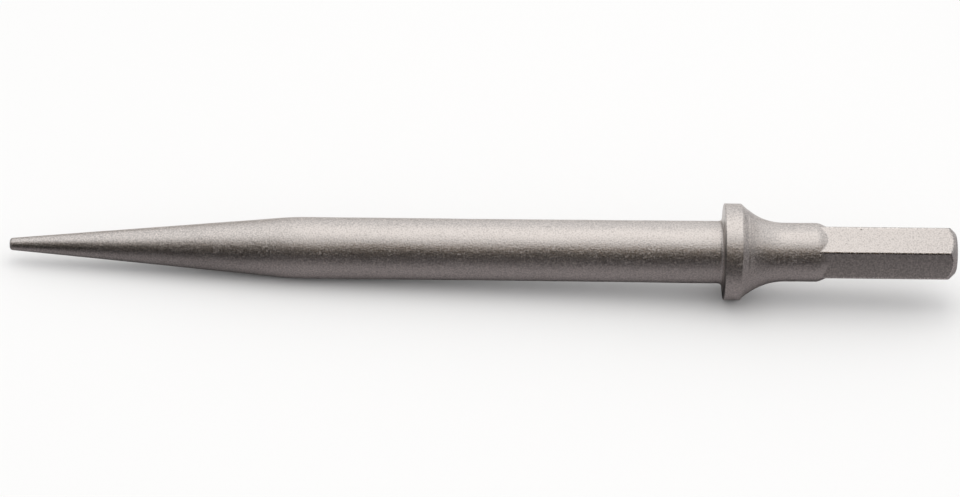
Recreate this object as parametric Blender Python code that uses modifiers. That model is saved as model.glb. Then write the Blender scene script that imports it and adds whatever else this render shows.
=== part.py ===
"""A point chisel for an air hammer: one steel forging, modelled as one solid.

The chisel lies along X with its point towards -X. The origin is the centre of the striking
face, the flat end of the hexagonal shank that the hammer's piston hits. Two of the shank's
flats face +Y and -Y, so its corners point up and down. Lengths are in metres.
"""

import math

import bmesh
import bpy
from mathutils import Matrix, Vector

# Point: a long cone with a blunt, rounded end
POINT_LENGTH = 0.0563
TIP_DIAMETER = 0.0022
TIP_EDGE_RADIUS = 0.0006

# Body: a round bar that swells slightly towards the collar
BODY_LENGTH = 0.08485
BODY_DIAMETER = 0.0122
SHOULDER_RADIUS = 0.060
SWELL_LENGTH = 0.038
SWELL_DIAMETER = 0.0124

# Collar: upset from the bar, with a drafted front face, a plain rim and a flared back
COLLAR_DIAMETER = 0.0192
COLLAR_RIM_WIDTH = 0.00335
COLLAR_DRAFT = math.radians(6)
COLLAR_ROOT_RADIUS = 0.0009
COLLAR_FRONT_EDGE_RADIUS = 0.0002
COLLAR_BACK_EDGE_RADIUS = 0.0005
FLARE_ANGLE = math.radians(42.5)
FLARE_RADIUS = 0.0119

# Neck: round, turned just clear of the hexagon's corners, with a cone that runs out on the flats
NECK_LENGTH = 0.0111
NECK_CLEARANCE = 0.000025
NECK_EDGE_RADIUS = 0.0020
RUNOUT_ANGLE = math.radians(22)

# Shank: a hexagon with rounded corners and a turned chamfer at the striking face
HEX_SIDES = 6
SHANK_FLAT_LENGTH = 0.0257
HEX_ACROSS_FLATS = 0.0102
HEX_CORNER_RADIUS = 0.0006
STRIKING_FACE_DIAMETER = 0.0077
STRIKING_CHAMFER = math.radians(45)
STRIKING_EDGE_RADIUS = 0.0011

# Fineness of the faceted solid
MERGE_DISTANCE = 1e-6
TURN_STEPS = 72
ARC_STEP = math.radians(9)
LEAST_ARC_STEPS = 3
CORNER_STEPS = 3
SHARP_ANGLE = math.radians(25)

# How far construction solids run past the faces that they cut or join
OVERRUN = 0.001

STEEL_COLOUR = (0.60, 0.555, 0.52, 1.0)
STEEL_ROUGHNESS = 0.45

# Sizes that follow from the ones above
HALF_SIDE_ANGLE = math.pi / HEX_SIDES
HEX_APOTHEM = HEX_ACROSS_FLATS / 2
HEX_SHARP_REACH = HEX_APOTHEM / math.cos(HALF_SIDE_ANGLE)
HEX_REACH = HEX_SHARP_REACH - HEX_CORNER_RADIUS * (1 / math.cos(HALF_SIDE_ANGLE) - 1)
NECK_RADIUS = HEX_REACH + NECK_CLEARANCE
BODY_RADIUS = BODY_DIAMETER / 2
SWELL_RADIUS = SWELL_DIAMETER / 2
COLLAR_RADIUS = COLLAR_DIAMETER / 2
STRIKING_FACE_RADIUS = STRIKING_FACE_DIAMETER / 2

# Stations along the axis, from the striking face at 0 towards the point
RUNOUT_END = -SHANK_FLAT_LENGTH
NECK_END = RUNOUT_END - (NECK_RADIUS - HEX_APOTHEM) / math.tan(RUNOUT_ANGLE)
NECK_START = NECK_END - NECK_LENGTH
COLLAR_BACK = NECK_START - (COLLAR_RADIUS - NECK_RADIUS) / math.tan(FLARE_ANGLE)
COLLAR_FRONT = COLLAR_BACK - COLLAR_RIM_WIDTH
COLLAR_ROOT = COLLAR_FRONT - (COLLAR_RADIUS - SWELL_RADIUS) * math.tan(COLLAR_DRAFT)
SWELL_START = COLLAR_ROOT - SWELL_LENGTH
SHOULDER = COLLAR_ROOT - BODY_LENGTH
TIP = SHOULDER - POINT_LENGTH


def clear_scene():
    for obj in list(bpy.data.objects):
        bpy.data.objects.remove(obj)


def new_collection(name):
    collection = bpy.data.collections.new(name)
    bpy.context.scene.collection.children.link(collection)
    return collection


def steel_material():
    """Blasted bare steel: a warm grey metal with a dull shine."""
    material = bpy.data.materials.new("blasted_steel")
    material.use_nodes = True
    shader = material.node_tree.nodes["Principled BSDF"]
    shader.inputs["Base Color"].default_value = STEEL_COLOUR
    shader.inputs["Metallic"].default_value = 1.0
    shader.inputs["Roughness"].default_value = STEEL_ROUGHNESS
    return material


def arc_points(before, corner, after, radius):
    """Points of the arc that rounds a corner, tangent to both of its straight lines."""
    towards_before = (before - corner).normalized()
    towards_after = (after - corner).normalized()
    turn = math.pi - towards_before.angle(towards_after)
    start = corner + towards_before * radius * math.tan(turn / 2)
    inward = (towards_before + towards_after).normalized()
    centre = corner + inward * radius / math.cos(turn / 2)
    side = math.copysign(1, towards_before.cross(towards_after))
    steps = max(LEAST_ARC_STEPS, math.ceil(turn / ARC_STEP))
    spoke = start - centre
    return [centre + Matrix.Rotation(-side * turn * i / steps, 2) @ spoke for i in range(steps + 1)]


def rounded_profile(corners):
    """The outline through (x, radius from the axis, rounding) corners, with each rounding as an arc."""
    places = [Vector((x, r)) for x, r, rounding in corners]
    outline = [places[0]]
    for i in range(1, len(corners) - 1):
        rounding = corners[i][2]
        if rounding:
            outline += arc_points(places[i - 1], places[i], places[i + 1], rounding)
        else:
            outline.append(places[i])
    return outline + [places[-1]]


def turned_solid(name, corners, collection):
    """A solid of revolution about X. Its profile starts and ends on the axis."""
    outline = rounded_profile(corners)
    mesh = bpy.data.meshes.new(name)
    edges = [(i, i + 1) for i in range(len(outline) - 1)]
    mesh.from_pydata([(point.x, 0.0, point.y) for point in outline], edges, [])
    obj = bpy.data.objects.new(name, mesh)
    collection.objects.link(obj)
    screw = obj.modifiers.new("turn", "SCREW")
    screw.axis = "X"
    screw.steps = screw.render_steps = TURN_STEPS
    screw.use_merge_vertices = True
    screw.merge_threshold = MERGE_DISTANCE
    screw.use_normal_flip = True
    return obj


def forged_bar(collection):
    """Everything round in one profile, from the tip to the cone that runs into the hexagon."""
    core_radius = HEX_APOTHEM - OVERRUN
    core_end = NECK_END + (NECK_RADIUS - core_radius) / math.tan(RUNOUT_ANGLE)
    corners = [
        (TIP, 0, 0),
        (TIP, TIP_DIAMETER / 2, TIP_EDGE_RADIUS),
        (SHOULDER, BODY_RADIUS, SHOULDER_RADIUS),
        (SWELL_START, BODY_RADIUS, 0),
        (COLLAR_ROOT, SWELL_RADIUS, COLLAR_ROOT_RADIUS),
        (COLLAR_FRONT, COLLAR_RADIUS, COLLAR_FRONT_EDGE_RADIUS),
        (COLLAR_BACK, COLLAR_RADIUS, COLLAR_BACK_EDGE_RADIUS),
        (NECK_START, NECK_RADIUS, FLARE_RADIUS),
        (NECK_END, NECK_RADIUS, NECK_EDGE_RADIUS),
        (core_end, core_radius, 0),
        (core_end, 0, 0),
    ]
    return turned_solid("forged_bar", corners, collection)


def end_gauge(collection):
    """A round bar with the striking face's chamfer, which the hexagon is trimmed to."""
    gauge_radius = HEX_SHARP_REACH + OVERRUN
    chamfer_start = -(gauge_radius - STRIKING_FACE_RADIUS) / math.tan(STRIKING_CHAMFER)
    gauge_front = NECK_START - OVERRUN
    corners = [
        (gauge_front, 0, 0),
        (gauge_front, gauge_radius, 0),
        (chamfer_start, gauge_radius, 0),
        (0, STRIKING_FACE_RADIUS, STRIKING_EDGE_RADIUS),
        (0, 0, 0),
    ]
    return turned_solid("end_gauge", corners, collection)


def hexagon_bar(collection):
    """The shank's hexagon, from inside the neck to past the striking face, with round corners."""
    start, end = NECK_START, OVERRUN
    middle = Matrix.Translation(((start + end) / 2, 0, 0))
    corners_up = Matrix.Rotation(HALF_SIDE_ANGLE, 4, "X")
    lie_along_x = Matrix.Rotation(math.pi / 2, 4, "Y")
    bm = bmesh.new()
    bmesh.ops.create_cone(
        bm,
        cap_ends=True,
        segments=HEX_SIDES,
        radius1=HEX_SHARP_REACH,
        radius2=HEX_SHARP_REACH,
        depth=end - start,
        matrix=middle @ corners_up @ lie_along_x,
    )
    mesh = bpy.data.meshes.new("hexagon_bar")
    bm.to_mesh(mesh)
    bm.free()
    obj = bpy.data.objects.new("hexagon_bar", mesh)
    collection.objects.link(obj)
    bevel = obj.modifiers.new("round_corners", "BEVEL")
    bevel.width = HEX_CORNER_RADIUS * math.tan(HALF_SIDE_ANGLE)
    bevel.segments = CORNER_STEPS
    return obj


def combine(obj, operation, other):
    boolean = obj.modifiers.new(f"{operation.lower()}_{other.name}", "BOOLEAN")
    boolean.operation = operation
    boolean.object = other


def finished_part(name, source, collection):
    """A named object with the source's mesh as its modifiers leave it, smooth between sharp edges."""
    graph = bpy.context.evaluated_depsgraph_get()
    mesh = bpy.data.meshes.new_from_object(source.evaluated_get(graph))
    mesh.name = name
    mesh.shade_smooth()
    mesh.set_sharp_from_angle(angle=SHARP_ANGLE)
    mesh.materials.clear()
    mesh.materials.append(steel_material())
    part = bpy.data.objects.new(name, mesh)
    collection.objects.link(part)
    return part


def main():
    clear_scene()
    parts = new_collection("point_chisel")
    construction = new_collection("construction")
    shank = hexagon_bar(construction)
    combine(shank, "INTERSECT", end_gauge(construction))
    bar = forged_bar(construction)
    combine(bar, "UNION", shank)
    finished_part("point_chisel", bar, parts)
    for obj in construction.objects:
        obj.hide_render = True
        obj.display_type = "WIRE"


main()
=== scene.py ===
# %% [markdown]
# # A point chisel for an air hammer
#
# The real chisel is one forging. A round bar is drawn out to a long point at one end, upset into
# a collar near the other end, and left as a hexagon where the hammer holds it. Then the whole
# thing is blasted with grit, which leaves bare steel with an even, dull, slightly sparkling skin.
# This lesson rebuilds that skin around the imported CAD solid, within about a third of a millimetre
# of it, and lights it as a small studio would. The first step loads the solid and keeps its box.

# %% Load the imported chisel
import math

import bpy
import numpy as np
from mathutils import Matrix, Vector
from mathutils.bvhtree import BVHTree


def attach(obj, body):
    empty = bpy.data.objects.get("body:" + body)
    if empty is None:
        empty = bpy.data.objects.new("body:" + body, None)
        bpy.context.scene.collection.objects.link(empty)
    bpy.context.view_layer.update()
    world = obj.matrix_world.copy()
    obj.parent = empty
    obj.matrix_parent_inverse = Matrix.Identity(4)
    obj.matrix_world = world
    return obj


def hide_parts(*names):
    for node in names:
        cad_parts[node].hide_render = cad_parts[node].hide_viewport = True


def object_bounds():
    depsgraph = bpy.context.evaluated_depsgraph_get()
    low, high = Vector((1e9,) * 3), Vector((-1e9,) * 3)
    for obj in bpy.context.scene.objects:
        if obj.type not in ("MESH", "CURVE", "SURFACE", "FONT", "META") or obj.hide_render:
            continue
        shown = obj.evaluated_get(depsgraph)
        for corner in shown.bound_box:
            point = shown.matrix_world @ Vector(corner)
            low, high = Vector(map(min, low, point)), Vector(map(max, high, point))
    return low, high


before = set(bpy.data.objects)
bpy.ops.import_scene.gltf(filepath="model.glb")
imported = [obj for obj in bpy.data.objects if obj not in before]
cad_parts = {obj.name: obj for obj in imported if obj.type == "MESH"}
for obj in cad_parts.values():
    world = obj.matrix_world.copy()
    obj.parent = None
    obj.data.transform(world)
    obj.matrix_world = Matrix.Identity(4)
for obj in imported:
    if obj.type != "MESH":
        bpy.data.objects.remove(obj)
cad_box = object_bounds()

scene = bpy.context.scene
cad_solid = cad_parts["point_chisel"]
print("CAD box, mm:", [[round(1000 * c, 2) for c in corner] for corner in cad_box])

# %% [markdown]
# ## The camera
#
# The chisel lies across the whole picture, seen square on and from a little above: one corner of
# the hexagon points straight at the lens, which for a hexagon with two upright flats means 30 degrees
# above the horizon. The camera could be placed by trial and error, but it is easier to say where
# two points of the chisel fall in the picture, the centre of its tip and the centre of its
# striking face. Their spacing gives the distance, their slope gives the camera's roll, and their
# middle gives its aim.

# %% Place the camera from two points of the picture
IMAGE_WIDTH = 960
IMAGE_HEIGHT = 497
LENS_LENGTH = 150.0
SENSOR_WIDTH = 36.0
NEAREST_SEEN = 0.01
FARTHEST_SEEN = 20.0
VIEW_ELEVATION = math.radians(30)
TIP_PIXEL = np.array((9.3, 243.55))
FACE_PIXEL = np.array((955.7, 253.87))

tip_centre = np.array((cad_box[0].x, 0.0, 0.0))
face_centre = np.array((cad_box[1].x, 0.0, 0.0))
pixel_run = FACE_PIXEL - TIP_PIXEL
focal_pixels = IMAGE_WIDTH * LENS_LENGTH / SENSOR_WIDTH
view_distance = focal_pixels * (face_centre[0] - tip_centre[0]) / np.linalg.norm(pixel_run)
roll = math.atan2(pixel_run[1], pixel_run[0])

along = np.array((1.0, 0.0, 0.0))
forward = np.array((0.0, math.cos(VIEW_ELEVATION), -math.sin(VIEW_ELEVATION)))
level_up = np.cross(along, forward)
right = math.cos(roll) * along + math.sin(roll) * level_up
up = math.cos(roll) * level_up - math.sin(roll) * along

off_centre = (TIP_PIXEL + FACE_PIXEL) / 2 - np.array((IMAGE_WIDTH, IMAGE_HEIGHT)) / 2
metres_per_pixel = view_distance / focal_pixels
aim = (tip_centre + face_centre) / 2 - (off_centre[0] * right - off_centre[1] * up) * metres_per_pixel

lens = bpy.data.cameras.new("photo_camera")
lens.lens = LENS_LENGTH
lens.sensor_width = SENSOR_WIDTH
lens.clip_start = NEAREST_SEEN
lens.clip_end = FARTHEST_SEEN
camera = bpy.data.objects.new("photo_camera", lens)
turn = np.column_stack((right, up, -forward))
camera.matrix_world = Matrix.Translation(aim - view_distance * forward) @ Matrix(turn.tolist()).to_4x4()
scene.collection.objects.link(camera)
scene.camera = camera
print(f"camera {view_distance:.3f} m away, rolled {math.degrees(roll):.2f} degrees")

# %% [markdown]
# ## The chisel's sizes
#
# A turned part is read off its drawing as diameters and lengths, so the sizes are given that way,
# in metres, and the stations along the axis follow from them. The striking face is at 0 and the
# point lies towards -X. They are the sizes of the CAD solid, apart from a few that were measured
# again in the photograph and differ by a fraction of a millimetre or by a degree or two.

# %% Sizes from the drawing
POINT_LENGTH = 0.05615
TIP_DIAMETER = 0.00234
TIP_EDGE_RADIUS = 0.0006
BODY_LENGTH = 0.08494
BODY_DIAMETER = 0.0122
SHOULDER_RADIUS = 0.060
SWELL_LENGTH = 0.038
SWELL_DIAMETER = 0.0124
COLLAR_DIAMETER = 0.0192
COLLAR_RIM_WIDTH = 0.00323
COLLAR_DRAFT = math.radians(5.4)
COLLAR_ROOT_RADIUS = 0.0009
COLLAR_FRONT_EDGE_RADIUS = 0.0002
COLLAR_BACK_EDGE_RADIUS = 0.0005
FLARE_ANGLE = math.radians(42.5)
FLARE_RADIUS = 0.0119
NECK_LENGTH = 0.01134
NECK_CLEARANCE = 0.000025
NECK_EDGE_RADIUS = 0.0024
RUNOUT_ANGLE = math.radians(24)
HEX_SIDES = 6
SHANK_FLAT_LENGTH = 0.0257
HEX_ACROSS_FLATS = 0.0102
HEX_CORNER_RADIUS = 0.0006
STRIKING_FACE_DIAMETER = 0.0077
STRIKING_CHAMFER = math.radians(45)
STRIKING_EDGE_RADIUS = 0.0011

# %% Radii and stations that follow
half_side = math.pi / HEX_SIDES
apothem = HEX_ACROSS_FLATS / 2
corner_centre = (apothem - HEX_CORNER_RADIUS) / math.cos(half_side)
hex_reach = corner_centre + HEX_CORNER_RADIUS
neck_radius = hex_reach + NECK_CLEARANCE
body_radius = BODY_DIAMETER / 2
swell_radius = SWELL_DIAMETER / 2
collar_radius = COLLAR_DIAMETER / 2
face_radius = STRIKING_FACE_DIAMETER / 2

runout_end = -SHANK_FLAT_LENGTH
neck_end = runout_end - (neck_radius - apothem) / math.tan(RUNOUT_ANGLE)
neck_start = neck_end - NECK_LENGTH
collar_back = neck_start - (collar_radius - neck_radius) / math.tan(FLARE_ANGLE)
collar_front = collar_back - COLLAR_RIM_WIDTH
collar_root = collar_front - (collar_radius - swell_radius) * math.tan(COLLAR_DRAFT)
swell_start = collar_root - SWELL_LENGTH
shoulder = collar_root - BODY_LENGTH
tip = shoulder - POINT_LENGTH
print(f"overall length {-1000 * tip:.2f} mm, CAD {-1000 * cad_box[0].x:.2f} mm")

# %% [markdown]
# ## The outline
#
# Everything round on the chisel comes from one outline turned about the axis. A curve object with
# a Screw modifier would do it, but the shank is not round, and a grid of points whose rows are
# stations along the outline lets the round bar and the hexagon share one mesh. So the outline is
# worked out as an array of (x, radius) points: straight runs with a chosen spacing, joined by
# arcs wherever the drawing gives a corner a radius.

# %% Rounded corners and straight runs
ARC_STEP = math.radians(5)
LEAST_ARC_STEPS = 4
LONGEST_ARC_STEP = 0.0002


def corner_arc(before, corner, after, radius, longest):
    """The arc that rounds a corner. It leaves each leg at radius x tan(half the turn) from the
    corner, and swings about a centre on the line that halves the angle between the legs."""
    back = (before - corner) / np.linalg.norm(before - corner)
    on = (after - corner) / np.linalg.norm(after - corner)
    turn = math.pi - math.acos(float(np.clip(back @ on, -1, 1)))
    start = corner + back * radius * math.tan(turn / 2)
    halfway = (back + on) / np.linalg.norm(back + on)
    centre = corner + halfway * radius / math.cos(turn / 2)
    side = math.copysign(1, back[0] * on[1] - back[1] * on[0])
    steps = max(LEAST_ARC_STEPS, math.ceil(turn / ARC_STEP), math.ceil(radius * turn / longest))
    swing = -side * np.linspace(0, turn, steps + 1)[:, None]
    spoke = start - centre
    across = np.array((-spoke[1], spoke[0]))
    return centre + np.cos(swing) * spoke + np.sin(swing) * across


def outline(corners, longest=LONGEST_ARC_STEP):
    """Points through (x, radius, rounding, spacing) corners. A corner with a rounding becomes its
    arc, and the straight run after each corner is cut into equal steps of about the spacing."""
    places = np.array([corner[:2] for corner in corners])
    runs = [places[:1]]
    for i in range(1, len(corners)):
        bend = places[i:i + 1]
        if corners[i][2] > 0:
            bend = corner_arc(*places[i - 1:i + 2], corners[i][2], longest)
        last = runs[-1][-1]
        steps = max(1, round(float(np.linalg.norm(bend[0] - last)) / corners[i - 1][3]))
        share = np.linspace(0, 1, steps + 1)[1:-1, None]
        runs += [last + share * (bend[0] - last), bend]
    return np.concatenate(runs)


# %% The turned bar, from the tip to the cone that runs out on the flats
CONE_OVERRUN = 0.0002
TIP_SPACING = 0.00015
POINT_SPACING = 0.0010
BODY_SPACING = 0.0012
COLLAR_SPACING = 0.00025
RIM_SPACING = 0.0003
FLARE_SPACING = 0.0002
NECK_SPACING = 0.0005
SHANK_SPACING = 0.0010
CUT_SPACING = 0.00007
FACE_SPACING = 0.0004
cone_end = runout_end + CONE_OVERRUN / math.tan(RUNOUT_ANGLE)
turned = outline([
    (tip, 0, 0, TIP_SPACING),
    (tip, TIP_DIAMETER / 2, TIP_EDGE_RADIUS, POINT_SPACING),
    (shoulder, body_radius, SHOULDER_RADIUS, BODY_SPACING),
    (swell_start, body_radius, 0, BODY_SPACING),
    (collar_root, swell_radius, COLLAR_ROOT_RADIUS, COLLAR_SPACING),
    (collar_front, collar_radius, COLLAR_FRONT_EDGE_RADIUS, RIM_SPACING),
    (collar_back, collar_radius, COLLAR_BACK_EDGE_RADIUS, FLARE_SPACING),
    (neck_start, neck_radius, FLARE_RADIUS, NECK_SPACING),
    (neck_end, neck_radius, NECK_EDGE_RADIUS, CUT_SPACING),
    (cone_end, apothem - CONE_OVERRUN, 0, SHANK_SPACING),
])
print(f"turned outline: {len(turned)} points")

# %% The shank and its turned end
CHAMFER_MARGIN = 0.00012
gauge_radius = hex_reach + CHAMFER_MARGIN
chamfer_start = -(gauge_radius - face_radius) / math.tan(STRIKING_CHAMFER)
shank_end = outline([
    (cone_end, gauge_radius, 0, SHANK_SPACING),
    (chamfer_start, gauge_radius, 0, CUT_SPACING),
    (0, face_radius, STRIKING_EDGE_RADIUS, FACE_SPACING),
    (0, 0, 0, FACE_SPACING),
])[1:]
print(f"shank outline: {len(shank_end)} points")

# %% [markdown]
# ## The hexagon
#
# On the machine the hexagon is the bar stock, the neck is what the lathe left on one end of it,
# and the chamfer is what it took off the other. In a mesh that would be two Boolean steps, which
# leave long thin faces that shade badly. Here each direction round the axis has a distance to the
# hexagon's surface, and the shank is the smaller of that and the chamfer, while the run-out is
# the larger of that and the neck's cone. A smooth smaller-of and larger-of round the edges a
# little where the surfaces meet, as blasting does.

# %% Distance from the axis to the hexagon
def hexagon_distance(angle):
    """Apothem / cos(turn) on a flat, where turn is the angle to the flat's middle. Near a corner it is
    the far side of the corner's circle, centre x cos(gap) + root(radius^2 - (centre x sin(gap))^2),
    where gap is the angle to the corner."""
    turn = np.abs((angle + half_side) % (2 * half_side) - half_side)
    gap = half_side - turn
    inside = np.maximum(HEX_CORNER_RADIUS ** 2 - (corner_centre * np.sin(gap)) ** 2, 0)
    on_corner = corner_centre * np.cos(gap) + np.sqrt(inside)
    flat_end = math.atan2((apothem - HEX_CORNER_RADIUS) * math.tan(half_side), apothem)
    return np.where(turn < flat_end, apothem / np.cos(turn), on_corner)


def smooth_smaller(a, b, width):
    """The smaller of a and b, less width x mix x (1 - mix) where they differ by less than the width."""
    mix = np.clip(0.5 + 0.5 * (b - a) / width, 0, 1)
    return b + (a - b) * mix - width * mix * (1 - mix)


def smooth_larger(a, b, width):
    """The larger of a and b, with the same rounding, turned over."""
    return -smooth_smaller(-a, -b, width)


print(f"hexagon {2000 * apothem:.2f} mm across its flats, {2000 * hex_reach:.2f} mm across its corners")

# %% Directions round the axis, close together on the corners
FLAT_STEPS = 28
CORNER_STEPS = 12
flat_half = (apothem - HEX_CORNER_RADIUS) * math.tan(half_side)
on_flat = np.arctan2(np.linspace(-flat_half, flat_half, FLAT_STEPS + 1)[:-1], apothem)
swing = np.linspace(-half_side, half_side, CORNER_STEPS + 1)[:-1]
on_corner = half_side + np.arctan2(
    HEX_CORNER_RADIUS * np.sin(swing), corner_centre + HEX_CORNER_RADIUS * np.cos(swing))
one_side = np.concatenate((on_flat, on_corner))
sides = np.arange(HEX_SIDES)[:, None] * 2 * half_side
angles = (sides + one_side[None, :]).ravel()
print(f"{len(angles)} directions round the axis")

# %% [markdown]
# ## The skin of the forging
#
# A forged bar is never quite round or straight. The hammer and the dies leave shallow waves a few
# hundredths of a millimetre high, and they show in the metal as a highlight whose edge wanders.
# A Displace modifier could add them, but a sum of a few slow waves, each with a whole number of
# turns round the bar so that the seam closes, is exact and always the same.

# %% Forging waves
WAVE_COUNT = 24
WAVE_HEIGHT = 0.000006
LONGEST_WAVE = 0.040
SHORTEST_WAVE = 0.006
MOST_LOBES = 7
WAVE_SEED = 11


def forging_waves(x, angle):
    """The sum of waves height x cos(lobes x angle + way x 2 pi x / length + start), where the way is 1
    or -1 and a shorter wave is lower in proportion, so that all waves are about equally steep."""
    draw = np.random.default_rng(WAVE_SEED)
    length = LONGEST_WAVE * (SHORTEST_WAVE / LONGEST_WAVE) ** draw.random(WAVE_COUNT)
    lobes = draw.integers(1, MOST_LOBES + 1, WAVE_COUNT)
    start = draw.uniform(0, 2 * math.pi, WAVE_COUNT)
    way = draw.choice((-1, 1), WAVE_COUNT)
    height = WAVE_HEIGHT * length / LONGEST_WAVE
    phase = (2 * math.pi * x[..., None] / length * way) + lobes * angle[..., None] + start
    return (height * np.cos(phase)).sum(-1)


print(f"{WAVE_COUNT} waves, {1000 * SHORTEST_WAVE:.0f} to {1000 * LONGEST_WAVE:.0f} mm long")

# %% [markdown]
# The dies were not quite in line either: the bar hangs about two tenths of a millimetre low between
# its point and its collar, and the wide end of the flare sits a little higher than the rim. The shank
# is what the hammer holds, so it stays on the axis of the CAD.

# %% Sag of the bar
TIP_SAG = 0.00008
POINT_RISE = 0.00013
COLLAR_RISE = 0.00012
NECK_RISE = 0.00009
FLARE_RISE = 0.00015
FLARE_RISE_FULL = 0.0004
FLARE_RISE_END = 0.0040


def ease(x, start, end):
    """From 0 at the start to 1 at the end, level at both: share^2 x (3 - 2 x share)."""
    share = np.clip((x - start) / (end - start), 0, 1)
    return share * share * (3 - 2 * share)


def axis_height(x):
    """The middle of the bar above the shank's axis: minus the tip's sag, minus point rise x ease from
    the tip to the shoulder, plus collar rise x ease up the collar's front, plus neck rise x ease from
    the collar's back to the neck's end, plus the flare's own rise at its wide end."""
    drop = -TIP_SAG - POINT_RISE * ease(x, tip, shoulder)
    rise = COLLAR_RISE * ease(x, collar_root, collar_front) + NECK_RISE * ease(x, collar_back, neck_end)
    flare = ease(x, collar_back - FLARE_RISE_FULL / 2, collar_back + FLARE_RISE_FULL)
    flare = flare * (1 - ease(x, collar_back + FLARE_RISE_FULL, collar_back + FLARE_RISE_END))
    return drop + rise + FLARE_RISE * flare


print(f"the bar's middle at the shoulder lies {-1000 * axis_height(shoulder):.2f} mm below the axis")

# %% [markdown]
# Where the flare begins, the dies left a fine ring, a step only about twice as high as the grain that
# catches the light along its face. Past the step the surface comes slowly back to the flare.

# %% Ring on the flare
RING_DISTANCE = 0.0015
RING_HEIGHT = 0.00008
RING_WIDTH = 0.0002
RING_FADE = 0.0025
ring_place = collar_back + RING_DISTANCE


def ring_height(x):
    """A step over twice the width, height x ease, times exp(-distance past the step / fade)."""
    past = np.exp(-np.maximum(x - ring_place, 0) / RING_FADE)
    return RING_HEIGHT * past * ease(x, ring_place - RING_WIDTH, ring_place + RING_WIDTH)


print(f"ring {1000 * RING_HEIGHT:.2f} mm high, {-1000 * ring_place:.1f} mm from the striking face")

# %% [markdown]
# The striking end was ground by hand, so its chamfer is not quite even: as seen in the picture, it is
# narrower in front and behind, cut deeper below and less deep above. A factor on the chamfer's radius
# says so, one for each direction round the axis.

# %% The hexagon inside its uneven chamfer
CHAMFER_BLEND = 0.00020
UNEVEN_CHAMFER = 0.08
LOWER_CUT = 0.028
UPPER_RISE = 0.015
CUT_BEGINS = 0.3
FRONT_CORNER = math.radians(150)
hexagon = hexagon_distance(angles)[None, :]
row_x = np.concatenate((turned[:, 0], shank_end[:, 0]))
runout_start = neck_end - NECK_EDGE_RADIUS * math.tan(RUNOUT_ANGLE / 2)
gauge = np.concatenate((np.full(len(turned), gauge_radius), shank_end[:, 1]))
gauge = np.where(row_x > runout_start, gauge, 0)[:, None]
below = np.cos(angles - FRONT_CORNER - math.pi / 2)
uneven = 1 + UNEVEN_CHAMFER * np.cos(angles - FRONT_CORNER) ** 2
uneven = uneven + UPPER_RISE * ease(-below, CUT_BEGINS, 1) - LOWER_CUT * ease(below, CUT_BEGINS, 1)
shank_radius = smooth_smaller(hexagon, gauge * uneven, CHAMFER_BLEND)
print(f"chamfer's radius times {uneven.min():.3f} to {uneven.max():.3f}")

# %% Bar and shank as one grid
RUNOUT_BLEND = 0.00008
RUNOUT_BLEND_LENGTH = 0.0010
LEAST_BLEND_SHARE = 0.01
LEAST_WAVE_SHARE = 0.15
turned_radius = np.concatenate((turned[:, 1], np.zeros(len(shank_end))))[:, None]
blend_share = ease(row_x, runout_start, runout_start + RUNOUT_BLEND_LENGTH)
runout_blend = RUNOUT_BLEND * np.maximum(blend_share, LEAST_BLEND_SHARE)[:, None]
radius = np.where(gauge > 0, smooth_larger(turned_radius, shank_radius, runout_blend), turned_radius)
radius = np.where(row_x[:, None] > cone_end, shank_radius, radius)

thickness = np.clip(radius / body_radius, 0, 1)
waves = forging_waves(row_x[:, None], angles[None, :])
wave_share = np.clip((neck_end - row_x[:, None]) / NECK_LENGTH, LEAST_WAVE_SHARE, 1)
radius = radius + waves * thickness * wave_share + ring_height(row_x[:, None])
radius[0] = radius[-1] = 0
grid = np.stack((
    np.broadcast_to(row_x[:, None], radius.shape),
    radius * np.cos(angles),
    radius * np.sin(angles) + axis_height(row_x)[:, None],
), axis=-1)
print(f"grid {grid.shape[0]} x {grid.shape[1]}, waves within {1000 * np.abs(waves).max():.3f} mm")

# %% [markdown]
# ## From the grid to a mesh
#
# The first and last rows are single points on the axis, so they become one vertex each with a fan
# of triangles, and all other neighbours become quads. The quads run round the axis first and then
# along it, which makes them face outwards. The piece replaces the CAD node, which stays in the
# physics model for collision.

# %% Build the mesh
rows, columns = grid.shape[:2]
inner = grid[1:-1].reshape(-1, 3)
points = np.concatenate((grid[:1, 0], inner, grid[-1:, 0]))
number = 1 + np.arange((rows - 2) * columns).reshape(rows - 2, columns)
beside = np.roll(number, -1, axis=1)
quads = np.stack((number[:-1], beside[:-1], beside[1:], number[1:]), axis=-1).reshape(-1, 4)
pole = np.zeros(columns, int)
tip_fan = np.stack((pole, beside[0], number[0]), axis=-1)
face_fan = np.stack((pole + len(points) - 1, number[-1], beside[-1]), axis=-1)

mesh = bpy.data.meshes.new("forged_chisel")
mesh.from_pydata(points, [], quads.tolist() + tip_fan.tolist() + face_fan.tolist())
mesh.shade_smooth()
mesh.validate()
chisel = bpy.data.objects.new("forged_chisel", mesh)
scene.collection.objects.link(chisel)
print(f"{2 * len(quads) + 2 * columns} triangles")

# %% Measure the new skin against the CAD solid
SAMPLE_STEP = 17
solid_points = np.zeros(3 * len(cad_solid.data.vertices))
cad_solid.data.vertices.foreach_get("co", solid_points)
solid_faces = [list(face.vertices) for face in cad_solid.data.polygons]
solid_tree = BVHTree.FromPolygons(solid_points.reshape(-1, 3).tolist(), solid_faces)
gaps = [solid_tree.find_nearest(point)[3] for point in points[::SAMPLE_STEP].tolist()]
print(f"largest distance from the CAD solid {1000 * max(gaps):.3f} mm")

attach(chisel, "root")
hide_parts("point_chisel")

# %% [markdown]
# ## Where the edges are
#
# The hammer's sleeve rubs the edges of the shank, so the steel along them is a little smoother and a
# trace paler than on the flats. Blender's Pointiness could find edges, but it depends on the renderer.
# The grid knows its own curvature: how fast the normal turns per length along the rows and along the
# columns. The larger of the two, through a soft threshold and on the shank alone, is stored on each
# point.

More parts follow.
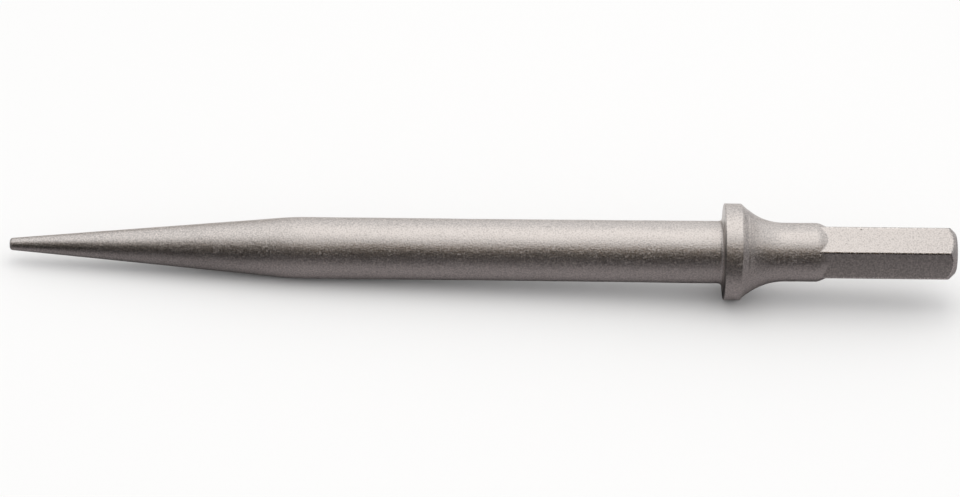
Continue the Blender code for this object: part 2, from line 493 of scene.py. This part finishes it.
# %% Curvature of the grid
LEAST_NORMAL = 1e-30
LEAST_MOVE = 1e-16


def grid_normals(surface):
    """The cross product of the step round the axis and the step along it, made one long."""
    round_step = np.roll(surface, -1, axis=1) - np.roll(surface, 1, axis=1)
    along_step = np.gradient(surface, axis=0)
    normal = np.cross(round_step, along_step)
    return normal / np.maximum(np.linalg.norm(normal, axis=-1, keepdims=True), LEAST_NORMAL)


def bend_rate(surface, normal, axis):
    """(Change of normal . change of place) / (change of place)^2, which is 1 / radius on a convex
    bend."""
    move = np.roll(surface, -1, axis) - np.roll(surface, 1, axis)
    turn = np.roll(normal, -1, axis) - np.roll(normal, 1, axis)
    return (turn * move).sum(-1) / np.maximum((move * move).sum(-1), LEAST_MOVE)


normals = grid_normals(grid)
sharpness = np.maximum(bend_rate(grid, normals, 0), bend_rate(grid, normals, 1))
print(f"tightest bend has a radius of {1000 / sharpness[1:-1].max():.2f} mm")

# %% Worn edges of the shank
EDGE_FAINT = 900.0
EDGE_FULL = 1800.0


def store_on_points(name, values):
    """Keeps the values of the grid on the mesh's points. The two ends on the axis get 0."""
    kept = np.concatenate(([0.0], values[1:-1].ravel(), [0.0])).astype(np.float32)
    mesh.attributes.new(name, "FLOAT", "POINT").data.foreach_set("value", kept)
    print(f"{name} on {(kept > 0.5).mean():.1%} of the points")


in_sleeve = ease(row_x, runout_start, runout_end)[:, None]
store_on_points("edge_wear", in_sleeve * ease(sharpness, EDGE_FAINT, EDGE_FULL))

# %% [markdown]
# The collar's front face is darkened next to the rim with painted shade, all round except near its upper
# edge as the camera sees it. It is stored on the points in the same way.

# %% Painted shade on the collar's front face
FACE_SHADE_FAINT = 0.0008
FACE_SHADE_FULL = 0.0020
FACE_SHADE_PAST_RIM = 0.00015
UPPER_EDGE = math.radians(60)
UNSHADED_FAINT = 0.25
UNSHADED_FULL = 0.60
on_face = ease(radius, swell_radius + FACE_SHADE_FAINT, swell_radius + FACE_SHADE_FULL)
on_face = on_face * (1 - ease(row_x[:, None], collar_front, collar_front + FACE_SHADE_PAST_RIM))
not_on_top = 1 - ease(np.cos(angles - UPPER_EDGE), UNSHADED_FAINT, UNSHADED_FULL)
# The painted shade of the collar's front face, kept on the points.
store_on_points("painted_face_shade", on_face * not_on_top[None, :])

# %% [markdown]
# ## Blasted steel
#
# Bare steel has no paint or clear coat, so it is a metal with a grey, faintly warm colour. Blasting
# turns a mirror into thousands of tiny dents that point every way. The smallest are far finer than
# a pixel and belong in Roughness, which spreads the reflection. The larger ones, a few tenths of a
# millimetre across, can be seen as a sparkling grain, and they belong in a Bump node with a true
# height in metres. All patterns read Object coordinates in metres, so a scale of 3300 means that a
# grain is about 0.3 mm wide wherever it lies on the chisel.

# %% Start the material
STEEL_COLOUR = (0.565, 0.531, 0.512, 1.0)
steel = bpy.data.materials.new("blasted_steel")
steel.use_nodes = True
steel_tree = steel.node_tree
steel_shader = steel_tree.nodes["Principled BSDF"]
steel_shader.inputs["Metallic"].default_value = 1.0
mesh.materials.append(steel)


def add_node(kind, label, **values):
    """A labelled node of the steel. Each value goes to the input of that name, or else to the
    property."""
    made = steel_tree.nodes.new(kind)
    made.label = label
    for name, value in values.items():
        if name in made.inputs:
            made.inputs[name].default_value = value
        else:
            setattr(made, name, value)
    return made


def arithmetic(operation, label, *terms):
    """A Math node whose inputs are numbers or the outputs of other nodes."""
    made = add_node("ShaderNodeMath", label, operation=operation)
    for socket, term in zip(made.inputs, terms):
        if isinstance(term, (int, float)):
            socket.default_value = term
        else:
            steel_tree.links.new(term, socket)
    return made.outputs["Value"]


place = add_node("ShaderNodeTexCoord", "place on the chisel").outputs["Object"]
print("steel colour", STEEL_COLOUR[:3])

# %% [markdown]
# ### Grain, tone, glints and clouds
#
# The grain is the height of the dents. The tone is how much scale is left in each, from dark to pale,
# and where it is palest a dent has a facet that glints: the colour there gets a painted glint and the
# grain is rougher. Over a few millimetres the blasting was denser here and thinner there, which leaves
# faint clouds. A picture of blasted steel could be wrapped round the bar, but noise in space needs no
# seam and has no grain that repeats.

# %% Patterns in space
GRAIN_SCALE = 3300.0
TONE_SCALE = 3200.0
CLOUD_SCALE = 140.0
CLOUD_DETAIL = 3.0
CLOUD_ROUGHNESS = 0.55
GLINT_FAINT = 0.58
GLINT_FULL = 0.75


def noise(label, scale, detail=0.0, roughness=0.5):
    """A noise pattern on the place, from 0 to 1, with that many patches to the metre."""
    made = add_node("ShaderNodeTexNoise", label, Scale=scale, Detail=detail, Roughness=roughness)
    steel_tree.links.new(place, made.inputs["Vector"])
    return made.outputs["Fac"]


def soft_step(label, value, faint, full):
    """Share^2 x (3 - 2 x share), where the share goes from 0 at faint to 1 at full."""
    made = add_node("ShaderNodeMapRange", label, interpolation_type="SMOOTHSTEP",
                    **{"From Min": faint, "From Max": full, "To Min": 0.0, "To Max": 1.0})
    steel_tree.links.new(value, made.inputs["Value"])
    return made.outputs["Result"]


grain = noise("blast grain", GRAIN_SCALE)
clouds = noise("uneven blasting", CLOUD_SCALE, CLOUD_DETAIL, CLOUD_ROUGHNESS)
tone = noise("tone of the skin", TONE_SCALE)
glints = soft_step("glinting grains", tone, GLINT_FAINT, GLINT_FULL)
print(f"grain about {1000 / GRAIN_SCALE:.2f} mm wide, clouds about {1000 / CLOUD_SCALE:.0f} mm")

# %% [markdown]
# ### Pits
#
# A few deeper pits are left where scale was hammered in. A Voronoi pattern gives every cell a
# random colour, so keeping only the cells above a high threshold scatters the pits sparsely, and
# the distance to the cell's centre gives each its round shape.

# %% A few pits
PIT_SCALE = 420.0
PIT_SHARE = 0.975
PIT_SIZE = 0.11
PIT_FLOOR = 0.35
cells = add_node("ShaderNodeTexVoronoi", "pit places", Scale=PIT_SCALE)
steel_tree.links.new(place, cells.inputs["Vector"])
chance = add_node("ShaderNodeSeparateColor", "chance of a pit")
steel_tree.links.new(cells.outputs["Color"], chance.inputs["Color"])
chosen = arithmetic("GREATER_THAN", "few cells", chance.outputs["Red"], PIT_SHARE)
shape = soft_step("round pit", cells.outputs["Distance"], PIT_SIZE, PIT_SIZE * PIT_FLOOR)
pits = arithmetic("MULTIPLY", "pits", shape, chosen)
print("pits about", round(2 * PIT_SIZE / PIT_SCALE * 1000, 2), "mm wide")

# %% Edges and painted shade, from the points
edges = add_node("ShaderNodeAttribute", "edge wear", attribute_name="edge_wear").outputs["Fac"]
# Painted shade of the collar's front face, read from the points.
painted_shade = add_node("ShaderNodeAttribute", "sheltered face", attribute_name="painted_face_shade").outputs["Fac"]
print("read from the points:", edges.node.attribute_name, painted_shade.node.attribute_name)

# %% [markdown]
# ### Putting the finish together
#
# The colour is the steel's own, lighter and darker from grain to grain and in clouds, a trace paler on
# the worn edges and dark in the pits. On top of that it holds painted light: a brighter painted glint
# where grains glint, and painted shade on the collar's front face next to the rim. Roughness goes up with
# the clouds, the tone and the glints, because a rough grain gathers light from more of the room, and in
# the pits. It goes down on the worn edges. The bump adds the heights of the grain and of the pits in
# metres, and one Bump node turns them into a normal.

# %% Colour
TONE_SPREAD = 0.80
CLOUD_SPREAD = 0.10
PAINTED_GLINT_LIGHT = 0.08
EDGE_LIGHT = 0.01
PIT_DARKNESS = 0.28
PAINTED_SHADE_DARKNESS = 0.60


def vary(label, base, pattern, spread):
    """Base + spread x (pattern - 1/2), which leaves the middle of the pattern at the base."""
    lowest = arithmetic("SUBTRACT", "centre", base, spread / 2)
    return arithmetic("MULTIPLY_ADD", label, pattern, spread, lowest)


def add_share(label, base, pattern, amount):
    """Base + amount x pattern."""
    return arithmetic("MULTIPLY_ADD", label, pattern, amount, base)


shade = vary("tone", 1.0, tone, TONE_SPREAD)
shade = vary("clouds", shade, clouds, CLOUD_SPREAD)
# Painted glint: the glinting grains are a little brighter in the colour.
shade = add_share("glints", shade, glints, PAINTED_GLINT_LIGHT)
shade = add_share("pale edges", shade, edges, EDGE_LIGHT)
shade = add_share("dark pits", shade, pits, -PIT_DARKNESS)
# Painted shade: the collar's front face is darker next to the rim.
shade = add_share("dark shelter", shade, painted_shade, -PAINTED_SHADE_DARKNESS)
colour = add_node("ShaderNodeVectorMath", "steel colour x shade", operation="SCALE")
colour.inputs[0].default_value = STEEL_COLOUR[:3]
steel_tree.links.new(shade, colour.inputs["Scale"])
steel_tree.links.new(colour.outputs["Vector"], steel_shader.inputs["Base Color"])
print(f"shade from {1 - TONE_SPREAD / 2:.1f} to {1 + TONE_SPREAD / 2:.1f}, grain to grain")

# %% Roughness
ROUGHNESS = 0.41
CLOUD_ROUGHER = 0.08
TONE_ROUGHER = 0.15
GLINT_ROUGHER = 0.16
EDGE_SMOOTHER = 0.18
PIT_ROUGHER = 0.2
rough = vary("uneven roughness", ROUGHNESS, clouds, CLOUD_ROUGHER)
rough = vary("rough grains", rough, tone, TONE_ROUGHER)
rough = add_share("glints", rough, glints, GLINT_ROUGHER)
rough = add_share("smoother edges", rough, edges, -EDGE_SMOOTHER)
rough = add_share("rougher pits", rough, pits, PIT_ROUGHER)
steel_tree.links.new(rough, steel_shader.inputs["Roughness"])
print(f"roughness about {ROUGHNESS}")

# %% Bump
GRAIN_HEIGHT = 0.000035
PIT_DEPTH = 0.00006
height = arithmetic("MULTIPLY", "grain height", grain, GRAIN_HEIGHT)
height = arithmetic("MULTIPLY_ADD", "pit depth", pits, -PIT_DEPTH, height)
bump = add_node("ShaderNodeBump", "surface height", Strength=1.0, Distance=1.0)
steel_tree.links.new(height, bump.inputs["Height"])
steel_tree.links.new(bump.outputs["Normal"], steel_shader.inputs["Normal"])
print(f"blasted steel has {len(steel_tree.nodes)} nodes")

# %% [markdown]
# ## The floor
#
# Laid on a table, the chisel rests on the rim of its collar and on the shoulder where the point
# begins, so its axis is not quite level with the table. The chisel stays level here, as the CAD
# has it, and the floor is tilted to it instead: its slope is the one at which the lowest point of
# the collar and the lowest point of the body touch it together.

# %% Slope and height of the floor
STEEPEST_SLOPE = 0.1
SLOPE_COUNT = 2001
slopes = np.linspace(0, STEEPEST_SLOPE, SLOPE_COUNT)
on_body = row_x < collar_root
reach = -grid[..., 2].min(axis=1)[:, None] - slopes * row_x[:, None]
body_reach = reach[on_body].max(axis=0)
collar_reach = reach[~on_body].max(axis=0)
floor_slope = float(np.interp(0, body_reach - collar_reach, slopes))
floor_drop = float(np.interp(floor_slope, slopes, collar_reach))
tilt = math.degrees(math.atan(floor_slope))
print(f"floor slopes {tilt:.2f} degrees, {1000 * floor_drop:.2f} mm below the striking face's centre")


def floor_height(x):
    """Minus the drop, minus slope x place, so that it rises towards the point."""
    return -floor_drop - floor_slope * x


# %% Pale floor
FLOOR_COLOUR = (0.90, 0.90, 0.90, 1.0)
FLOOR_ENDS = np.array((-0.75, 0.60))
FLOOR_DEPTH = 1.5


def matt_paint(name):
    """A paint without any shine, and its shader."""
    paint = bpy.data.materials.new(name)
    paint.use_nodes = True
    shader = paint.node_tree.nodes["Principled BSDF"]
    shader.inputs["Roughness"].default_value = 1.0
    shader.inputs["Specular IOR Level"].default_value = 0.0
    return paint, shader


def stage_sheet(name, surface, paint):
    """A painted sheet of the set, from a grid of points."""
    number = np.arange(surface.shape[0] * surface.shape[1]).reshape(surface.shape[:2])
    faces = np.stack((number[:-1, :-1], number[:-1, 1:], number[1:, 1:], number[1:, :-1]), axis=-1)
    data = bpy.data.meshes.new(name)
    data.from_pydata(surface.reshape(-1, 3), [], faces.reshape(-1, 4).tolist())
    data.materials.append(paint)
    made = bpy.data.objects.new(name, data)
    scene.collection.objects.link(made)
    return made


def sheet_along(places, across, rise):
    """A row of points across the chisel, at that rise above the floor, repeated at each place along X."""
    x = np.broadcast_to(places[:, None], (len(places), len(across)))
    y = np.broadcast_to(across, x.shape)
    return np.stack((x, y, floor_height(x) + rise), axis=-1)


floor_paint, floor_shader = matt_paint("floor_paint")
floor_shader.inputs["Base Color"].default_value = FLOOR_COLOUR
floor_sides = np.array((-FLOOR_DEPTH, FLOOR_DEPTH))
stage_sheet("floor", sheet_along(FLOOR_ENDS, floor_sides, 0), floor_paint)
print(f"floor {np.ptp(FLOOR_ENDS):.2f} x {np.ptp(floor_sides):.2f} m")

# %% [markdown]
# ## Dark cards
#
# Metal has no shade of its own and only shows its surroundings. In an all-white room the chisel
# would be a flat pale shape, so a studio puts dark cards round it. They could be many small objects,
# each with its own material, but one paint that reads its colour from the points of the card lets a
# few large cards change smoothly from place to place. The cards are seen only in the metal: the
# camera and the floor don't see them.

# %% Paint for the cards
card_paint, card_shader = matt_paint("card_paint")
point_colour = card_paint.node_tree.nodes.new("ShaderNodeAttribute")
point_colour.attribute_name = "paint"
card_paint.node_tree.links.new(point_colour.outputs["Color"], card_shader.inputs["Base Color"])


def dark_card(name, surface, colour):
    """A card with a colour at each of its points, seen by nothing but the metal."""
    card = stage_sheet(name, surface, card_paint)
    paint = np.ones(surface.shape[:2] + (4,), np.float32)
    paint[..., :3] = colour
    card.data.attributes.new("paint", "FLOAT_COLOR", "POINT").data.foreach_set("color", paint.ravel())
    card.visible_camera = False
    card.visible_diffuse = False
    card.visible_shadow = False
    card.visible_transmission = False
    print(f"{name}: {surface.shape[0]} x {surface.shape[1]} points")


# %% [markdown]
# The first card lies on the floor and gives the lower half of the bar its shade. Its colour is painted
# light and shade: pale beside the bar, where the light falls past it, a painted shadow under the bar,
# dark further away, and darker beside the thin point as painted shade. A second, small one lies beyond
# the shank's end and is seen in the chamfer there.

# %% Grid of the card under the chisel
CARD_LEFT = -0.70
CARD_RIGHT = 0.60
CARD_FRONT = -0.55
CARD_BACK = 0.012
CARD_LIFT = 0.0002
NEAR_BAR = 0.010
NEAR_STEP = 0.0005
NEAR_ROWS = 44
FAR_ROWS = 40
PAST_ENDS = 0.02
STATION_COUNT = 90
far_rows = -np.geomspace(-CARD_FRONT, NEAR_BAR, FAR_ROWS)
near_rows = np.linspace(NEAR_STEP - NEAR_BAR, CARD_BACK, NEAR_ROWS)
beside_bar = np.linspace(tip - PAST_ENDS, PAST_ENDS, STATION_COUNT)
stations = np.concatenate(([CARD_LEFT], beside_bar, [CARD_RIGHT]))
sheet = sheet_along(stations, np.concatenate((far_rows, near_rows)), CARD_LIFT)
bar_x = np.minimum(sheet[..., 0], chamfer_start)
print(f"card {np.ptp(sheet[..., 0]):.2f} x {np.ptp(sheet[..., 1]):.2f} m")

# %% Tones of the card under the chisel
CARD_COLOUR = np.array((1.0, 0.94, 0.965))
NEAR_TONE = 0.54
FAR_TONE = 0.07
FAR_FALL = 1.5
REACH = 1.25
THINNEST_BAR = 0.001
THIN_BAR_NEAR = 0.75
THIN_BAR_FAR = 0.25
PAINTED_SHADOW_TONE = 0.11
PAINTED_SHADOW_FAINT = 0.75
PAINTED_SHADOW_FULL = 0.25
PAST_END_LOSS = 0.55
PAST_END_LENGTH = 0.006
bar_radius = np.maximum(np.interp(bar_x, row_x, radius.max(axis=1)), THINNEST_BAR)
bar_share = bar_radius / body_radius
# Painted shade: the card is darker beside the thin point.
near_tone = NEAR_TONE * np.clip(bar_share, THIN_BAR_NEAR, 1)
far_tone = FAR_TONE * np.clip(bar_share, THIN_BAR_FAR, 1) ** FAR_FALL
pool = REACH * (bar_radius + np.maximum(-floor_height(sheet[..., 0]), 0))
nearness = np.exp(-(sheet[..., 1] / pool) ** 2)
sheet_tone = far_tone + (near_tone - far_tone) * nearness
# Painted shadow: the card is darker under the bar, less so past the striking face.
under = ease(sheet[..., 1], -PAINTED_SHADOW_FAINT * bar_radius, -PAINTED_SHADOW_FULL * bar_radius)
under = under * (1 - PAST_END_LOSS * ease(sheet[..., 0], 0, PAST_END_LENGTH))
sheet_tone = sheet_tone + (PAINTED_SHADOW_TONE - sheet_tone) * under
dark_card("floor_card", sheet, sheet_tone[..., None] * CARD_COLOUR)
print(f"floor card from tone {sheet_tone.min():.2f} to {sheet_tone.max():.2f}")

# %% Card beyond the shank's end
END_CARD_START = 0.001
END_CARD_BACK = 0.12
END_CARD_COLOUR = np.array((0.40, 0.40, 0.41))
end_stations = np.array((END_CARD_START, CARD_RIGHT))
end_sides = np.array((CARD_BACK, END_CARD_BACK))
dark_card("end_card", sheet_along(end_stations, end_sides, CARD_LIFT), END_CARD_COLOUR)

# %% [markdown]
# The last card is a wall round the chisel. In front it is tall and almost black, and it gives the bar
# its dark band. It is taller and darker towards the point, and a little so towards the collar. Its top
# edge is a warm brown, so the bar is warm where the band turns into the highlight. Behind the chisel
# it is low and grey-brown, and it only dims the bar's upper edge. It rises at the far left corner,
# which is seen in the upper edge of the point, and at the right end, where it is pale and is seen in
# the faces that look that way, such as the flare.

# %% Plan of the wall
WALL_BACK = 0.55
WALL_CORNER = 0.20
PLAN_SPACING = 0.04
PLAN_ARC_STEP = 0.02
plan = outline([
    (0, WALL_BACK, 0, PLAN_SPACING),
    (CARD_LEFT, WALL_BACK, WALL_CORNER, PLAN_SPACING),
    (CARD_LEFT, CARD_FRONT, WALL_CORNER, PLAN_SPACING),
    (CARD_RIGHT, CARD_FRONT, WALL_CORNER, PLAN_SPACING),
    (CARD_RIGHT, WALL_BACK, WALL_CORNER, PLAN_SPACING),
    (0, WALL_BACK, 0, PLAN_SPACING),
], longest=PLAN_ARC_STEP)
bearing = np.degrees(np.arctan2(plan[:, 0] - tip / 2, -plan[:, 1]))
print(f"wall of {len(plan)} points in plan")

# %% Parts of the wall, by bearings in degrees from the chisel's middle, with 0 in front
FRONT_BEARINGS = -80, -50, 63, 91
DARK_BEARINGS = -170, -140, 70, 92
FAR_LEFT_BEARINGS = -180, -150, -140, -110
RIGHT_END_BEARINGS = 84, 100, 120, 145
LEFT_SIDE_BEARINGS = -180, -165
RIGHT_SIDE_BEARINGS = 135, 170


def between(value, faint, full, fading, gone):
    """Ease from faint to full, times 1 - ease from fading to gone."""
    return ease(value, faint, full) * (1 - ease(value, fading, gone))


in_front = between(bearing, *FRONT_BEARINGS)
in_dark = between(bearing, *DARK_BEARINGS)
far_left = between(bearing, *FAR_LEFT_BEARINGS)
right_end = between(bearing, *RIGHT_END_BEARINGS)
left_side = np.where(bearing < 0, ease(bearing, *LEFT_SIDE_BEARINGS), 0)
right_side = np.where(bearing > 0, 1 - ease(bearing, *RIGHT_SIDE_BEARINGS), 0)
print(f"{np.count_nonzero(in_front > 0.5)} of them in front")

# %% Height of the wall
WALL_ROWS = 24
WALL_TOP_ELEVATION = math.radians(41.0)
WALL_NEAR_POINT = 0.54
WALL_NEAR_POINT_RANGE = -0.25, -0.46
WALL_NEAR_COLLAR = 0.060
WALL_NEAR_COLLAR_RANGE = -0.11, -0.03
WALL_LOW = 0.075
WALL_LEFT = 0.17
WALL_RIGHT = 0.18
WALL_FAR_LEFT = 0.38
WALL_RIGHT_END = 0.50
front_top = -CARD_FRONT * math.tan(WALL_TOP_ELEVATION)
front_top = front_top + WALL_NEAR_POINT * ease(plan[:, 0], *WALL_NEAR_POINT_RANGE)
front_top = front_top + WALL_NEAR_COLLAR * ease(plan[:, 0], *WALL_NEAR_COLLAR_RANGE)
side_top = WALL_LOW + (WALL_LEFT - WALL_LOW) * left_side + (WALL_RIGHT - WALL_LOW) * right_side
side_top = np.maximum(side_top, WALL_LOW + (WALL_FAR_LEFT - WALL_LOW) * far_left)
side_top = np.maximum(side_top, WALL_LOW + (WALL_RIGHT_END - WALL_LOW) * right_end)
wall_top = np.maximum(side_top, front_top * in_front)
rise = np.linspace(0, 1, WALL_ROWS)[:, None]
foot = floor_height(plan[:, 0])
wall = np.stack((
    np.broadcast_to(plan[:, 0], (WALL_ROWS, len(plan))),
    np.broadcast_to(plan[:, 1], (WALL_ROWS, len(plan))),
    foot + rise * (wall_top - foot),
), axis=-1)
print(f"wall up to {wall_top.max():.2f} m high in front and {wall_top.min():.2f} m behind")

# %% Colours of the wall
WALL_FOOT_TONE = 0.025
WALL_TOP_TONE = 0.31
WALL_POINT_SHARE = 0.40
WALL_POINT_SHARE_RANGE = -0.12, -0.36
WALL_COLLAR_SHARE = 0.78
WALL_COLLAR_SHARE_RANGE = -0.12, -0.04
WALL_COLOUR = np.array((1.0, 0.83, 0.66))
WALL_EDGE_START = 0.70
WALL_EDGE_TONE = 0.24
WALL_EDGE_COLOUR = np.array((1.0, 0.50, 0.08))
WALL_BACK_COLOUR = np.array((0.38, 0.325, 0.28))
WALL_RIGHT_FOOT = np.array((0.47, 0.47, 0.49))
WALL_RIGHT_TOP = np.array((0.88, 0.845, 0.81))
WALL_RIGHT_TOP_RANGE = 0.16, 0.31
front_share = 1 + (WALL_POINT_SHARE - 1) * ease(plan[:, 0], *WALL_POINT_SHARE_RANGE)
front_share = front_share + (WALL_COLLAR_SHARE - 1) * ease(plan[:, 0], *WALL_COLLAR_SHARE_RANGE)
front_tone = front_share * (WALL_FOOT_TONE + (WALL_TOP_TONE - WALL_FOOT_TONE) * rise ** 2)
wall_edge = ease(rise, WALL_EDGE_START, 1)[..., None]
front_colour = front_tone[..., None] * (WALL_COLOUR + wall_edge * (WALL_EDGE_COLOUR - WALL_COLOUR))
front_colour = front_colour + wall_edge * WALL_EDGE_TONE * front_share[:, None] * WALL_EDGE_COLOUR
right_up = ease(wall[..., 2:], *WALL_RIGHT_TOP_RANGE)
right_colour = WALL_RIGHT_FOOT + right_up * (WALL_RIGHT_TOP - WALL_RIGHT_FOOT)
back_colour = WALL_BACK_COLOUR + right_side[None, :, None] * (right_colour - WALL_BACK_COLOUR)
wall_colour = back_colour + in_dark[None, :, None] * (front_colour - back_colour)
dark_card("dark_wall", wall, wall_colour)

# %% [markdown]
# ## Light
#
# The room is plain white, which lights everything evenly and makes the background white. One large
# soft lamp overhead, slightly warm, adds the broad highlight along the top of the bar. It hangs
# nearer to the collar than to the point, so the highlight fades a little towards the point.

# %% White room
ROOM_COLOUR = (1.0, 1.0, 1.0, 1.0)
ROOM_STRENGTH = 1.0
world = bpy.data.worlds.new("white_room")
world.use_nodes = True
background = world.node_tree.nodes["Background"]
background.inputs["Color"].default_value = ROOM_COLOUR
background.inputs["Strength"].default_value = ROOM_STRENGTH
scene.world = world
scene.view_settings.view_transform = "Standard"
print("room colour", ROOM_COLOUR[:3])

# %% Overhead lamp
LAMP_SIZE = (0.30, 0.475)
LAMP_PLACE = (-0.055, 0.0325, 0.45)
LAMP_RADIANCE = 0.48
LAMP_COLOUR = (1.0, 0.95, 0.89)
WATTS_PER_RADIANCE_AND_AREA = 4
lamp = bpy.data.lights.new("overhead_lamp", "AREA")
lamp.shape = "RECTANGLE"
lamp.size, lamp.size_y = LAMP_SIZE
lamp.energy = WATTS_PER_RADIANCE_AND_AREA * LAMP_SIZE[0] * LAMP_SIZE[1] * LAMP_RADIANCE
lamp.color = LAMP_COLOUR
overhead = bpy.data.objects.new("overhead_lamp", lamp)
overhead.location = LAMP_PLACE
overhead.visible_camera = False
scene.collection.objects.link(overhead)
print(f"lamp of {lamp.energy:.2f} W")

# %% Finish
bpy.context.view_layer.update()
